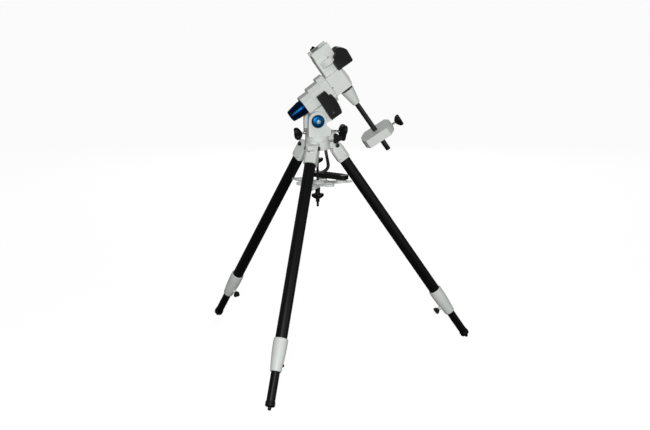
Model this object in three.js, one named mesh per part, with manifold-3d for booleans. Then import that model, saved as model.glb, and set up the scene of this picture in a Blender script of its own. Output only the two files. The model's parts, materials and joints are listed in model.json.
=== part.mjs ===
// Equatorial telescope mount on a three-legged steel tripod, in millimetres, +Z up.
// The tripod stands on Z = 0, with the polar axis in the XZ plane and north towards +X.
import * as THREE from 'three';
import { mergeVertices } from 'three/addons/utils/BufferGeometryUtils.js';
import Module from 'manifold-3d';

const wasm = await Module();
wasm.setup();

// Driving dimensions
const GAP = 0.3;
const LATITUDE = 35.2;
const LEG_ANGLE = 34.4;
const LEG_LENGTH = 1029;
const LEG_PIVOT_RADIUS = 74.5;
const LEG_TUBE_OFFSET = -6.5;
const FOOT_TIP_RADIUS = 5;
const UPPER_TUBE_RADIUS = 22.25;
const LOWER_TUBE_RADIUS = 16.2;
const TUBE_WALL = 1.6;
const COLLAR_TOP = -762;
const COLLAR_BOTTOM = -886;
const HUB_RADIUS = 50;
const HUB_BOTTOM = 840;
const HUB_TOP = 875;
const ALTITUDE_PIVOT = [-10, 956];
const CHEEK_INNER = 27;
const CHEEK_OUTER = 45;
const CHEEK_ARCH_RADIUS = 36;
const TAB_DROP = 42;
const AXIS_CROSSING = [90.2, 1110.6];
const HOUSING_HALF_WIDTH = 42;
const RA_BORE_RADIUS = 20.6;
const RA_SHAFT_RADIUS = 20;
const DEC_SHAFT_RADIUS = 15;
const HEAD_HALF_WIDTH = 31;
const SADDLE_BOTTOM = 122;
const SADDLE_TOP = 153;
const ROD_RADIUS = 10;
const ROD_END = -351;
const WEIGHT_TOP = -254;
const WEIGHT_THICKNESS = 35;
const WEIGHT_TURN = 15;
const TRAY_HEIGHT = 699;
const TRAY_REACH = 140;
const CENTRE_ROD_RADIUS = 5;
const CORD_RADIUS = 7;

const DEG = Math.PI / 180;
const legSin = Math.sin(LEG_ANGLE * DEG);
const legCos = Math.cos(LEG_ANGLE * DEG);
const latSin = Math.sin(LATITUDE * DEG);
const latCos = Math.cos(LATITUDE * DEG);
const legPivotHeight = (LEG_LENGTH - FOOT_TIP_RADIUS) * legCos - LEG_TUBE_OFFSET * legSin + FOOT_TIP_RADIUS;

// Materials
const finish = (color, roughness, metalness) => ({ color, roughness, metalness });
const CASTING = finish(0xd3d5cf, 0.45, 0.1);
const LEG_BLACK = finish(0x141515, 0.4, 0.4);
const PLASTIC = finish(0x1c1e1f, 0.5, 0.0);
const BLUE = finish(0x0d4a74, 0.25, 0.8);
const STEEL = finish(0xa8aaab, 0.3, 0.9);
const DARK_STEEL = finish(0x3a3b3d, 0.35, 0.8);
const BRASS = finish(0xb08d4a, 0.35, 0.9);
const ALUMINIUM = finish(0xc0c2c4, 0.35, 0.9);
const RUBBER = finish(0x202022, 0.9, 0.0);

// Geometry helpers
function closedGeometry(geometry) {
  const bare = new THREE.BufferGeometry();
  bare.setAttribute('position', geometry.getAttribute('position').clone());
  if (geometry.index) bare.setIndex(geometry.index.clone());
  const merged = mergeVertices(bare, 1e-4);
  const corners = merged.index.array;
  const kept = [];
  for (let i = 0; i < corners.length; i += 3) {
    const [a, b, c] = [corners[i], corners[i + 1], corners[i + 2]];
    if (a !== b && b !== c && c !== a) kept.push(a, b, c);
  }
  merged.setIndex(kept);
  if (signedVolume(merged) < 0) {
    for (let i = 0; i < kept.length; i += 3) [kept[i], kept[i + 1]] = [kept[i + 1], kept[i]];
    merged.setIndex(kept);
  }
  return merged;
}

function signedVolume(geometry) {
  const position = geometry.getAttribute('position');
  const corners = geometry.index.array;
  const [a, b, c] = [new THREE.Vector3(), new THREE.Vector3(), new THREE.Vector3()];
  let volume = 0;
  for (let i = 0; i < corners.length; i += 3) {
    a.fromBufferAttribute(position, corners[i]);
    b.fromBufferAttribute(position, corners[i + 1]);
    c.fromBufferAttribute(position, corners[i + 2]);
    volume += a.dot(b.cross(c)) / 6;
  }
  return volume;
}

function toManifold(geometry) {
  const closed = closedGeometry(geometry);
  return new wasm.Manifold(new wasm.Mesh({
    numProp: 3,
    vertProperties: new Float32Array(closed.getAttribute('position').array),
    triVerts: new Uint32Array(closed.index.array),
  }));
}

function fromManifold(solid) {
  const mesh = solid.getMesh();
  const geometry = new THREE.BufferGeometry();
  geometry.setAttribute('position', new THREE.BufferAttribute(new Float32Array(mesh.vertProperties), 3));
  geometry.setIndex([...mesh.triVerts]);
  return geometry;
}

function join(first, ...others) {
  return fromManifold(others.reduce((solid, other) => solid.add(toManifold(other)), toManifold(first)));
}

function cut(first, ...others) {
  return fromManifold(others.reduce((solid, other) => solid.subtract(toManifold(other)), toManifold(first)));
}

function common(first, second) {
  return fromManifold(toManifold(first).intersect(toManifold(second)));
}

function block(x0, x1, y0, y1, z0, z1) {
  const geometry = new THREE.BoxGeometry(x1 - x0, y1 - y0, z1 - z0);
  return geometry.translate((x0 + x1) / 2, (y0 + y1) / 2, (z0 + z1) / 2);
}

// A profile of [radius, height] pairs, closed on itself or on the axis, turned about Z.
function turned(profile, sides = 24) {
  const points = profile.map(([radius, height]) => new THREE.Vector2(radius, height));
  return new THREE.LatheGeometry(points, sides).rotateX(Math.PI / 2);
}

function bar(radius, z0, z1, sides = 20) {
  return turned([[0, z0], [radius, z0], [radius, z1], [0, z1]], sides);
}

function pipe(inner, outer, z0, z1, sides = 24) {
  return turned([[inner, z0], [outer, z0], [outer, z1], [inner, z1], [inner, z0]], sides);
}

const alongX = (geometry) => geometry.rotateY(Math.PI / 2);
const alongY = (geometry) => geometry.rotateX(-Math.PI / 2);

function outline(points) {
  return new THREE.Shape(points.map(([x, y]) => new THREE.Vector2(x, y)));
}

// An XY outline raised along Z.
function plate(shape, z0, z1, curveSegments = 10) {
  const geometry = new THREE.ExtrudeGeometry(shape, { depth: z1 - z0, bevelEnabled: false, curveSegments });
  return geometry.translate(0, 0, z0);
}

// An outline in the XZ plane, extruded from y0 to y1.
function slab(shape, y0, y1, curveSegments = 10) {
  return plate(shape, -y1, -y0, curveSegments).rotateX(Math.PI / 2);
}

// An outline of [y, z] points, extruded along X from x0 to x1.
function beam(points, x0, x1) {
  const geometry = plate(outline(points), x0, x1);
  return geometry.rotateX(Math.PI / 2).rotateZ(Math.PI / 2);
}

function lobedOutline(lobes, radius, depth, steps) {
  const points = [];
  for (let i = 0; i < steps; i += 1) {
    const angle = (i / steps) * 2 * Math.PI;
    const reach = radius - depth * (0.5 - 0.5 * Math.cos(lobes * angle));
    points.push([reach * Math.cos(angle), reach * Math.sin(angle)]);
  }
  return outline(points);
}

// A lobed hand knob on its screw, along +Z, with the screw's tip at z = 0.
function knobOnScrew(screwRadius, headStart, radius, thickness, lobes = 3) {
  const depth = radius * (lobes > 3 ? 0.2 : 0.38);
  const head = plate(lobedOutline(lobes, radius, depth, lobes * 8), headStart, headStart + thickness);
  return join(head, bar(screwRadius, 0, headStart + 1, 12));
}

function rectangleWithChamfers(y0, y1, z0, z1, top, bottom) {
  return [
    [y0 + bottom, z0], [y1 - bottom, z0], [y1, z0 + bottom], [y1, z1 - top],
    [y1 - top, z1], [y0 + top, z1], [y0, z1 - top], [y0, z0 + bottom],
  ];
}

function part(parent, name, geometry, look) {
  const mesh = new THREE.Mesh(closedGeometry(geometry), new THREE.MeshStandardMaterial(look));
  mesh.name = name;
  parent.add(mesh);
  return mesh;
}

// Tripod hub, centre rod and accessory tray
const LUG_HALF_WIDTH = 13.5;
const LUG_TOP = 866;
const PEG_RADIUS = 6;
const PEG_POSITION = 66;

function tripodHub() {
  const cup = turned([
    [0, HUB_TOP - 15], [43, HUB_TOP - 15], [43, HUB_BOTTOM], [HUB_RADIUS - 2, HUB_BOTTOM],
    [HUB_RADIUS, HUB_BOTTOM + 2], [HUB_RADIUS, HUB_TOP], [0, HUB_TOP],
  ], 32);
  const pieces = [cup];
  for (const angle of [0, 120, 240]) {
    const lug = join(
      block(45, LEG_PIVOT_RADIUS, -LUG_HALF_WIDTH, LUG_HALF_WIDTH, legPivotHeight - 12, LUG_TOP),
      alongY(bar(LUG_TOP - legPivotHeight, -LUG_HALF_WIDTH, LUG_HALF_WIDTH, 16))
        .translate(LEG_PIVOT_RADIUS, 0, legPivotHeight),
    );
    const hole = alongY(bar(4.4, -20, 20, 12)).translate(LEG_PIVOT_RADIUS, 0, legPivotHeight);
    pieces.push(cut(lug, hole).rotateZ(angle * DEG));
  }
  pieces.push(bar(PEG_RADIUS, LUG_TOP - 2, HUB_TOP + 20, 16).translate(PEG_POSITION, 0, 0));
  return cut(join(...pieces), bar(CENTRE_ROD_RADIUS + GAP, HUB_TOP - 30, HUB_TOP + 1, 20));
}

function centreRod() {
  return turned([[0, 607], [3.5, 607], [CENTRE_ROD_RADIUS, 609], [CENTRE_ROD_RADIUS, 889], [0, 889]], 20);
}

function rodKnob() {
  const body = plate(lobedOutline(4, 23, 5, 32), 785, 803);
  return cut(body, bar(CENTRE_ROD_RADIUS + GAP, 780, 810, 20));
}

const PAD_REACH = 66;
const PAD_RADIUS = 20;
const PAD_HEIGHT = 9;

function accessoryTray() {
  const pieces = [turned([[0, 0], [64, 0], [64, 4], [30, 4], [24, 10], [13, 16], [0, 16]], 30)];
  const pad = turned([
    [0, 0], [PAD_RADIUS, 0], [PAD_RADIUS, PAD_HEIGHT], [PAD_RADIUS - 3, PAD_HEIGHT], [PAD_RADIUS - 4, 7],
    [0, 7],
  ], 20);
  for (const angle of [60, 180, 300]) {
    pieces.push(pad.clone().translate(PAD_REACH, 0, 0).rotateZ(angle * DEG));
  }
  for (const angle of [0, 120, 240]) {
    const arm = outline([
      [40, -30], [TRAY_REACH - 8, -15], [TRAY_REACH, -9], [TRAY_REACH, 9], [TRAY_REACH - 8, 15], [40, 30],
    ]);
    const ring = pipe(16.5, 20.5, 0, PAD_HEIGHT, 20).translate(96, 0, 0);
    const hole = bar(16.5, -1, 12, 20).translate(96, 0, 0);
    pieces.push(join(cut(plate(arm, 0, 4), hole), ring).rotateZ(angle * DEG));
  }
  return cut(join(...pieces), bar(CENTRE_ROD_RADIUS + GAP, -1, 17, 20)).translate(0, 0, TRAY_HEIGHT);
}

function trayKnob() {
  const top = TRAY_HEIGHT - GAP;
  const grip = plate(lobedOutline(4, 25, 6, 32), 640, 659);
  const neck = turned([[0, 626], [8, 626], [8, 641], [10.5, 658], [10.5, top], [0, top]], 20);
  return cut(join(grip, neck), bar(CENTRE_ROD_RADIUS + GAP, 620, 700, 20));
}

// One leg, in its own frame: the pivot bolt at the origin, the leg running down -Z
const BRACKET_FRONT = 19.5;
const BRACKET_BACK = -32;
const BRACKET_BOTTOM = -66;
const BRACKET_HALF_WIDTH = 24.5;
const FORK_HALF_GAP = 14;
const FOOT_CAP_TOP = -996;
const INNER_TUBE_TOP = -480;
const LOCK_HEIGHT = -846;
const LEG_SIDES = 20;

function legBracket() {
  const side = outline([
    [-2, 24], [8, 17], [14, 4], [BRACKET_FRONT, -10], [BRACKET_FRONT, BRACKET_BOTTOM],
    [BRACKET_BACK, BRACKET_BOTTOM], [BRACKET_BACK, -14],
  ]);
  const [h, front, back] = [BRACKET_HALF_WIDTH, BRACKET_FRONT, BRACKET_BACK];
  const plan = outline([
    [back, -h + 6], [back + 6, -h], [front - 10, -h], [front, -h + 10], [front, h - 10], [front - 10, h],
    [back + 6, h], [back, h - 6],
  ]);
  return cut(
    common(slab(side, -h, h), plate(plan, BRACKET_BOTTOM - 1, 30)),
    block(-60, 60, -FORK_HALF_GAP, FORK_HALF_GAP, -24, 40),
    alongY(bar(4.6, -30, 30, 12)),
    bar(UPPER_TUBE_RADIUS + GAP, BRACKET_BOTTOM - 1, -34, LEG_SIDES).translate(LEG_TUBE_OFFSET, 0, 0),
  );
}

function legBolt() {
  const inside = BRACKET_HALF_WIDTH + GAP;
  const shank = bar(4, -inside - 1, inside + 1, 12);
  const head = bar(7.5, -inside - 5.5, -inside, 6);
  const nut = bar(7.5, inside, inside + 5.5, 6);
  return alongY(join(shank, head, nut));
}

function legTube() {
  const top = -34 - GAP;
  return pipe(UPPER_TUBE_RADIUS - TUBE_WALL, UPPER_TUBE_RADIUS, COLLAR_TOP - 30, top, LEG_SIDES);
}

function legCollar() {
  const inner = LOWER_TUBE_RADIUS + GAP;
  const sleeve = UPPER_TUBE_RADIUS + GAP;
  const shell = turned([
    [inner, COLLAR_BOTTOM], [20.5, COLLAR_BOTTOM], [26.5, COLLAR_TOP - 40], [27, COLLAR_TOP - 2],
    [25.5, COLLAR_TOP], [sleeve, COLLAR_TOP], [sleeve, COLLAR_TOP - 31], [inner, COLLAR_TOP - 36],
    [inner, COLLAR_BOTTOM],
  ], LEG_SIDES);
  const boss = alongX(bar(8, -33, -LOWER_TUBE_RADIUS - 1.5, 12)).translate(0, 0, LOCK_HEIGHT);
  const thread = alongX(bar(4 + GAP, -40, -10, 12)).translate(0, 0, LOCK_HEIGHT);
  return cut(join(shell, boss), thread);
}

function legInnerTube() {
  return pipe(LOWER_TUBE_RADIUS - TUBE_WALL, LOWER_TUBE_RADIUS, FOOT_CAP_TOP - 12, INNER_TUBE_TOP, LEG_SIDES);
}

function legFoot() {
  const tip = -LEG_LENGTH + FOOT_TIP_RADIUS;
  const [low, wide] = [FOOT_TIP_RADIUS * legSin, FOOT_TIP_RADIUS * legCos];
  const cap = turned([
    [0, tip - FOOT_TIP_RADIUS], [low, tip - wide], [FOOT_TIP_RADIUS, tip], [7, -1017],
    [15, -1015], [18.5, -1011], [18.5, FOOT_CAP_TOP], [0, FOOT_CAP_TOP],
  ], LEG_SIDES);
  const socket = pipe(LOWER_TUBE_RADIUS - TUBE_WALL - GAP, LOWER_TUBE_RADIUS + GAP, FOOT_CAP_TOP - 12 - GAP,
    FOOT_CAP_TOP + 1, LEG_SIDES);
  return cut(cap, socket);
}

function legLockKnob() {
  const knob = alongX(knobOnScrew(4, 18, 15.5, 17, 3)).rotateZ(Math.PI);
  return knob.translate(-LOWER_TUBE_RADIUS - GAP, 0, LOCK_HEIGHT);
}

function addLeg(tripod, name, angle) {
  const turn = new THREE.Group();
  turn.rotation.z = angle * DEG;
  const leg = new THREE.Group();
  leg.position.set(LEG_PIVOT_RADIUS, 0, legPivotHeight);
  leg.rotation.y = -LEG_ANGLE * DEG;
  const tubes = new THREE.Group();
  tubes.position.x = LEG_TUBE_OFFSET;
  turn.add(leg);
  leg.add(tubes);
  tripod.add(turn);
  part(leg, `leg_bracket_${name}`, legBracket(), CASTING);
  part(leg, `leg_bolt_${name}`, legBolt(), STEEL);
  part(tubes, `leg_tube_${name}`, legTube(), LEG_BLACK);
  part(tubes, `leg_collar_${name}`, legCollar(), CASTING);
  part(tubes, `leg_inner_tube_${name}`, legInnerTube(), LEG_BLACK);
  part(tubes, `leg_foot_${name}`, legFoot(), PLASTIC);
  part(tubes, `leg_lock_knob_${name}`, legLockKnob(), PLASTIC);
}

// Azimuth base with its adjusting screws
const BASE_BOTTOM = HUB_TOP + GAP + 0.2;
const BASE_TOP = 899;
const BASE_RADIUS = 48.5;
const AZIMUTH_LUG_INNER = 16;
const AZIMUTH_LUG_OUTER = 30;
const AZIMUTH_SCREW_HEIGHT = 887;
const REAR_SCREW_SLOPE = 11;
const FRONT_SCREW_SLOPE = -5;

function screwBore(slope, x, length) {
  const [pivotX, pivotZ] = ALTITUDE_PIVOT;
  const bore = alongX(bar(5.4, x, x + length, 12)).rotateY(-slope * DEG);
  return bore.translate(pivotX, 0, pivotZ - TAB_DROP);
}

function azimuthBase() {
  const [pivotX, pivotZ] = ALTITUDE_PIVOT;
  const disc = turned([
    [0, BASE_BOTTOM], [BASE_RADIUS, BASE_BOTTOM], [BASE_RADIUS, BASE_TOP - 3], [BASE_RADIUS - 3, BASE_TOP],
    [0, BASE_TOP],
  ], 32);
  const arch = new THREE.Shape();
  arch.moveTo(-46, BASE_TOP - 4);
  arch.lineTo(40, BASE_TOP - 4);
  arch.lineTo(44, 905);
  arch.lineTo(44, 924);
  arch.lineTo(pivotX + CHEEK_ARCH_RADIUS, 938);
  arch.lineTo(pivotX + CHEEK_ARCH_RADIUS, pivotZ);
  arch.absarc(pivotX, pivotZ, CHEEK_ARCH_RADIUS, 0, Math.PI, false);
  arch.lineTo(-46, BASE_TOP - 4);
  const axleHole = alongY(bar(8.4, -60, 60, 16)).translate(pivotX, 0, pivotZ);
  const near = cut(slab(arch, -CHEEK_OUTER, -CHEEK_INNER, 12), axleHole);
  const far = cut(slab(arch, CHEEK_INNER, CHEEK_OUTER, 12), axleHole);
  const frontWall = block(24, 43, -CHEEK_INNER - 1, CHEEK_INNER + 1, BASE_TOP - 4, 924);
  const rearWall = block(-46, -34, -CHEEK_INNER - 1, CHEEK_INNER + 1, BASE_TOP - 4, 920);
  const lugs = [-1, 1].map((side) => {
    const [a, b] = [side * AZIMUTH_LUG_INNER, side * AZIMUTH_LUG_OUTER].sort((p, q) => p - q);
    return block(36, 76, a, b, HUB_TOP + 4, 897);
  });
  const azimuthBore = alongY(bar(4 + GAP, -40, 40, 12)).translate(PEG_POSITION, 0, AZIMUTH_SCREW_HEIGHT);
  const body = join(disc, near, far, frontWall, rearWall, ...lugs);
  return cut(
    body,
    azimuthBore,
    screwBore(FRONT_SCREW_SLOPE, 20, 60),
    screwBore(REAR_SCREW_SLOPE, -60, 40),
    bar(CENTRE_ROD_RADIUS + GAP, BASE_BOTTOM - 1, 889 + GAP, 20),
  );
}

function azimuthKnob(side) {
  const reach = PEG_RADIUS + GAP;
  const knob = alongY(knobOnScrew(4, 34.2, 22, 19.5)).rotateZ(side < 0 ? Math.PI : 0);
  return knob.translate(PEG_POSITION, side * reach, AZIMUTH_SCREW_HEIGHT);
}

const TAB_RADIUS = 8;

function altitudeKnobFront() {
  const start = TAB_RADIUS + 0.4;
  const knob = knobOnScrew(5, 100.5 - start, 38, 24);
  const placed = alongX(knob).translate(start, 0, 0).rotateY(-FRONT_SCREW_SLOPE * DEG);
  return placed.translate(ALTITUDE_PIVOT[0], 0, ALTITUDE_PIVOT[1] - TAB_DROP);
}

function altitudeKnobRear() {
  const start = TAB_RADIUS + 0.4;
  const knob = knobOnScrew(5, 57.5 - start, 28, 24);
  const placed = alongX(knob).translate(start, 0, 0).rotateZ(Math.PI).rotateY(-REAR_SCREW_SLOPE * DEG);
  return placed.translate(ALTITUDE_PIVOT[0], 0, ALTITUDE_PIVOT[1] - TAB_DROP);
}

function altitudeAxle() {
  const half = CHEEK_OUTER - GAP;
  return alongY(bar(8, -half, half, 16)).translate(ALTITUDE_PIVOT[0], 0, ALTITUDE_PIVOT[1]);
}

function altitudeCap(side) {
  const dome = turned([
    [0, 0], [25.5, 0], [25.5, 8], [22, 12], [12, 14.5], [0, 15],
  ], 24);
  const cap = alongY(dome).rotateZ(side < 0 ? Math.PI : 0);
  return cap.translate(ALTITUDE_PIVOT[0], side * (CHEEK_OUTER + GAP), ALTITUDE_PIVOT[1]);
}

// Polar-axis assembly, in the head's frame: X along the polar axis, Z along the declination axis
const BAND_FRONT = -52;
const REAR_FACE = -177;
const HOUSING_FLOOR = -30;
const WHEEL_RADIUS = 36;
const CAVITY_RADIUS = 38.5;
const WORM_RADIUS = 6.5;
const WORM_AT = [-72, -43.5];

function pivotInHead() {
  const [dx, dz] = [ALTITUDE_PIVOT[0] - AXIS_CROSSING[0], ALTITUDE_PIVOT[1] - AXIS_CROSSING[1]];
  return [dx * latCos + dz * latSin, -dx * latSin + dz * latCos];
}

function raHousing() {
  const w = HOUSING_HALF_WIDTH;
  const [ps, pt] = pivotInHead();
  const tab = [ps - TAB_DROP * latSin, pt - TAB_DROP * latCos];
  const upper = beam(rectangleWithChamfers(-w, w, HOUSING_FLOOR, 48, 18, 6), -134, -80);
  const lower = beam(rectangleWithChamfers(-w, w, HOUSING_FLOOR, 38, 18, 6), REAR_FACE, -130);
  const band = beam(rectangleWithChamfers(-w, w, -58, 60, 22, 22), -84, BAND_FRONT);
  const wormBlock = block(-121, -66, -29, 22, -94, HOUSING_FLOOR + 1);
  const tongueOutline = outline([
    [REAR_FACE + 1, HOUSING_FLOOR + 1], [REAR_FACE + 1, -36], [ps - 31, pt], [ps - 13, pt - 28],
    [ps + 6, pt - 30.5], [-142, -101], [-117, -107], [-100, -92], [-100, HOUSING_FLOOR + 1],
  ]);
  const reach = CHEEK_INNER - 1;
  const tongue = slab(tongueOutline, -reach, reach);
  const tabArm = block(-6, 6, -reach, reach, -TAB_DROP, 0).rotateY(LATITUDE * DEG).translate(ps, 0, pt);
  const tabPin = alongY(bar(TAB_RADIUS, -reach, reach, 16)).translate(tab[0], 0, tab[1]);
  const body = join(upper, lower, band, wormBlock, tongue, tabArm, tabPin);
  return cut(
    body,
    alongX(bar(RA_BORE_RADIUS, REAR_FACE - 1, BAND_FRONT + 1, 24)),
    alongX(bar(CAVITY_RADIUS, -80, BAND_FRONT + 1, 28)),
    alongY(bar(8.4, -40, 40, 16)).translate(ps, 0, pt),
    alongY(bar(7.5, -w - 1, 24, 12)).translate(WORM_AT[0], 0, WORM_AT[1]),
  );
}

function raMotorCover() {
  const shape = new THREE.Shape();
  shape.moveTo(-121.5, 12.5);
  shape.lineTo(-123.5, -95);
  shape.lineTo(-78, -97);
  shape.lineTo(-74.5, -93);
  shape.quadraticCurveTo(-61, -52, -69, -12);
  shape.lineTo(-78.5, -10);
  shape.lineTo(-81.5, 12.5);
  const rim = HOUSING_HALF_WIDTH + GAP;
  const wide = slab(shape, -62, -rim, 8);
  const deep = common(slab(shape, -rim - 1, -30, 8), block(-130, -60, -60, 0, -100, -59));
  const hollow = block(-117, -74, -57, -rim + 1, -88, 4);
  return cut(join(wide, deep), hollow);
}

function raShaft() {
  const flange = BAND_FRONT + GAP + 0.4;
  return alongX(turned([
    [14, REAR_FACE + 3], [RA_SHAFT_RADIUS, REAR_FACE + 3], [RA_SHAFT_RADIUS, -64], [34, -64], [34, flange],
    [14, flange], [14, REAR_FACE + 3],
  ], 24));
}

function raWormWheel() {
  return alongX(pipe(RA_SHAFT_RADIUS + 0.4, WHEEL_RADIUS, -78, -66, 28));
}

function wormAlongY(reach) {
  return alongY(turned([
    [0, -reach], [3.5, -reach], [3.5, -16], [WORM_RADIUS, -16], [WORM_RADIUS, 16], [0, 16],
  ], 12));
}

function polarScope() {
  return alongX(turned([
    [0, -212], [15.5, -212], [15.5, -181], [13, -181], [13, -92], [0, -92],
  ], 20));
}

function polarCap() {
  const back = REAR_FACE - GAP;
  return alongX(turned([
    [0, -243], [19.5, -243], [23, -240], [30.5, -192], [30.5, back], [24, back], [18.5, -234], [0, -234],
  ], 24));
}

function raClutchLever() {
  const lever = join(
    block(-66, -58, 42 + GAP, 50, -4, 4),
    block(-66, -58, 46, 53, 0, 34),
    alongY(bar(7, 42 + GAP, 54, 12)).translate(-62, 0, 0),
  );
  return lever;
}

// Declination assembly, in the same frame
const DEC_WORM_AT = [43.5, 91];
const CASE_RADIUS = 47;
const RING_RADIUS = 26.5;
const CONE_TOP = -51.3;
const CONE_BOTTOM = -119;

function decHousing() {
  const w = HOUSING_HALF_WIDTH;
  const h = HEAD_HALF_WIDTH;
  const left = BAND_FRONT + 1;
  const side = outline([[left, 46], [left, -38], [20, -38], [28, -30], [30.5, 0], [27, 46]]);
  const plan = outline([[left, -w], [18, -w], [31, -w + 13], [31, w - 13], [18, w], [left, w]]);
  const lower = common(slab(side, -w, w), plate(plan, -40, 50));
  const plug = alongX(bar(22, 20, 33, 24));
  const neck = plate(outline(rectangleWithChamfers(-44, 38, -h, h, 3, 3)), 40, SADDLE_BOTTOM - GAP);
  const wheelCase = turned([
    [0, 78], [44, 78], [CASE_RADIUS, 82], [CASE_RADIUS, 102], [44, 106], [0, 106],
  ], 28);
  const wormCase = block(34, 54, -26, 24, 81, 101);
  const boss = block(2, 30, -h - 5, -h + 1, 99, 118);
  return cut(
    join(lower, plug, neck, wheelCase, wormCase, boss),
    bar(DEC_SHAFT_RADIUS + 0.4, -60, 140, 20),
    bar(CAVITY_RADIUS, 84, 98, 28),
    alongY(bar(7.5, -27, 21, 12)).translate(DEC_WORM_AT[0], 0, DEC_WORM_AT[1]),
  );
}

function decMotorCover() {
  const h = HEAD_HALF_WIDTH;
  const face = outline([
    [8.6, 44.5], [9, 84], [19, 86], [19, 98], [35, 103], [36, 117], [52, 118.5], [62, 115],
    [76, 100], [80, 90], [76.5, 47], [72, 42],
  ]);
  const reach = GAP + 0.1;
  const neckSpace = block(-60, 38 + reach, -h - reach, 40, 30, 130);
  const caseSpace = bar(CASE_RADIUS + reach, 78 - reach, 106 + reach, 28);
  const wormSpace = block(30, 54 + reach, -26 - reach, 30, 81 - reach, 101 + reach);
  const bossSpace = block(0, 30 + reach, -h - 5 - reach, 0, 99 - reach, 120);
  const hollow = block(37, 73, -56, -8, 50, 98);
  const lowerSpace = block(0, 32, -HOUSING_HALF_WIDTH - reach, 0, 30, 46 + reach);
  return cut(slab(face, -60, -4), neckSpace, caseSpace, wormSpace, bossSpace, hollow, lowerSpace);
}

function decWormWheel() {
  return pipe(DEC_SHAFT_RADIUS + GAP, WHEEL_RADIUS, 85, 97, 28);
}

function decClutchLever() {
  const face = HEAD_HALF_WIDTH + GAP;
  return join(alongY(bar(7, face, 43, 12)).translate(-14, 0, 62), block(-14, 13, 38, 43, 58.5, 65.5));
}

function decShaft() {
  return turned([[0, CONE_TOP + 1], [DEC_SHAFT_RADIUS, CONE_TOP + 1], [DEC_SHAFT_RADIUS, 136], [0, 136]], 20);
}

function decSettingCircle() {
  return pipe(DEC_SHAFT_RADIUS + GAP, RING_RADIUS, CONE_TOP + GAP, -38 - GAP, 28);
}

function shaftCone() {
  return turned([
    [ROD_RADIUS + GAP, CONE_BOTTOM], [15, CONE_BOTTOM], [RING_RADIUS, CONE_TOP], [0, CONE_TOP],
    [0, CONE_TOP - 14], [ROD_RADIUS + GAP, CONE_TOP - 14], [ROD_RADIUS + GAP, CONE_BOTTOM],
  ], 24);
}

function counterweightRod() {
  return turned([
    [0, ROD_END], [8, ROD_END], [ROD_RADIUS, ROD_END + 2], [ROD_RADIUS, CONE_TOP - 14 - GAP],
    [0, CONE_TOP - 14 - GAP],
  ], 20);
}

// Saddle: the dovetail slot runs along the polar axis
const JAW_X0 = -27;
const JAW_X1 = 5;
const JAW_BACK = 25;
const SLOT_FLOOR = 140;
const SCREW_HEIGHT = SLOT_FLOOR + 4.5;
const LAND = 16.5;

function saddle() {
  const h = HEAD_HALF_WIDTH;
  const relief = SLOT_FLOOR - 1;
  const body = beam([
    [-h, SADDLE_BOTTOM], [h, SADDLE_BOTTOM], [h, SADDLE_TOP - 2], [h - 2, SADDLE_TOP], [17, SADDLE_TOP],
    [22, SLOT_FLOOR], [22, relief], [LAND, relief], [LAND, SLOT_FLOOR], [-LAND, SLOT_FLOOR], [-LAND, relief],
    [-22, relief], [-22, SLOT_FLOOR], [-17, SADDLE_TOP], [-h + 2, SADDLE_TOP], [-h, SADDLE_TOP - 2],
  ], -42, 38);
  const pocket = block(JAW_X0 - GAP, JAW_X1 + GAP, 10, JAW_BACK + GAP, SLOT_FLOOR, SADDLE_TOP + 1);
  const jawRelief = block(JAW_X0 - GAP, JAW_X1 + GAP, LAND, JAW_BACK + GAP, relief, SLOT_FLOOR + 1);
  const screwHole = alongY(bar(3 + GAP, 10, 40, 12)).translate((JAW_X0 + JAW_X1) / 2, 0, SCREW_HEIGHT);
  const socket = bar(DEC_SHAFT_RADIUS + GAP, SADDLE_BOTTOM - 1, 136 + GAP, 20);
  return cut(body, pocket, jawRelief, screwHole, socket);
}

function saddleJaw() {
  return beam([
    [17.3, SADDLE_TOP - GAP], [22.3, SLOT_FLOOR + GAP], [JAW_BACK, SLOT_FLOOR + GAP],
    [JAW_BACK, SADDLE_TOP - GAP],
  ], JAW_X0, JAW_X1);
}

function saddleKnob() {
  const knob = alongY(knobOnScrew(3, 12, 14.5, 15, 5));
  return knob.translate((JAW_X0 + JAW_X1) / 2, JAW_BACK + 2 * GAP, SCREW_HEIGHT);
}

// Counterweight, turned about its rod
function counterweight() {
  const [x, y, cx, cy] = [66, 57, 48, 20];
  const plan = outline([[-x, -cy], [-cx, -y], [cx, -y], [x, -cy], [x, cy], [cx, y], [-cx, y], [-x, cy]]);
  const body = plate(plan, WEIGHT_TOP - WEIGHT_THICKNESS, WEIGHT_TOP);
  const height = WEIGHT_TOP - WEIGHT_THICKNESS / 2;
  const thread = alongX(bar(4 + GAP, 8, 80, 16)).translate(0, 0, height);
  return cut(body, bar(ROD_RADIUS + GAP, -400, 0, 20), thread).rotateZ(-WEIGHT_TURN * DEG);
}

function counterweightKnob() {
  const knob = alongX(knobOnScrew(4, 76, 26, 22, 3)).translate(ROD_RADIUS + GAP, 0, 0);
  return knob.translate(0, 0, WEIGHT_TOP - WEIGHT_THICKNESS / 2).rotateZ(-WEIGHT_TURN * DEG);
}

// Hand controller lying on the tray, and its coiled cord up to the azimuth base
const HANDSET_LENGTH = 170;
const HANDSET_WIDTH = 50;
const HANDSET_THICKNESS = 18;
const HANDSET_CENTRE = [63, 61];
const HANDSET_TURN = -47;
const HANDSET_FLOOR = TRAY_HEIGHT + PAD_HEIGHT + GAP;
const PLUG_ANGLE = 58;
const PLUG_HEIGHT = 887;

function onHandset(geometry) {
  return geometry.rotateZ(HANDSET_TURN * DEG).translate(HANDSET_CENTRE[0], HANDSET_CENTRE[1], HANDSET_FLOOR);
}

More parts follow.
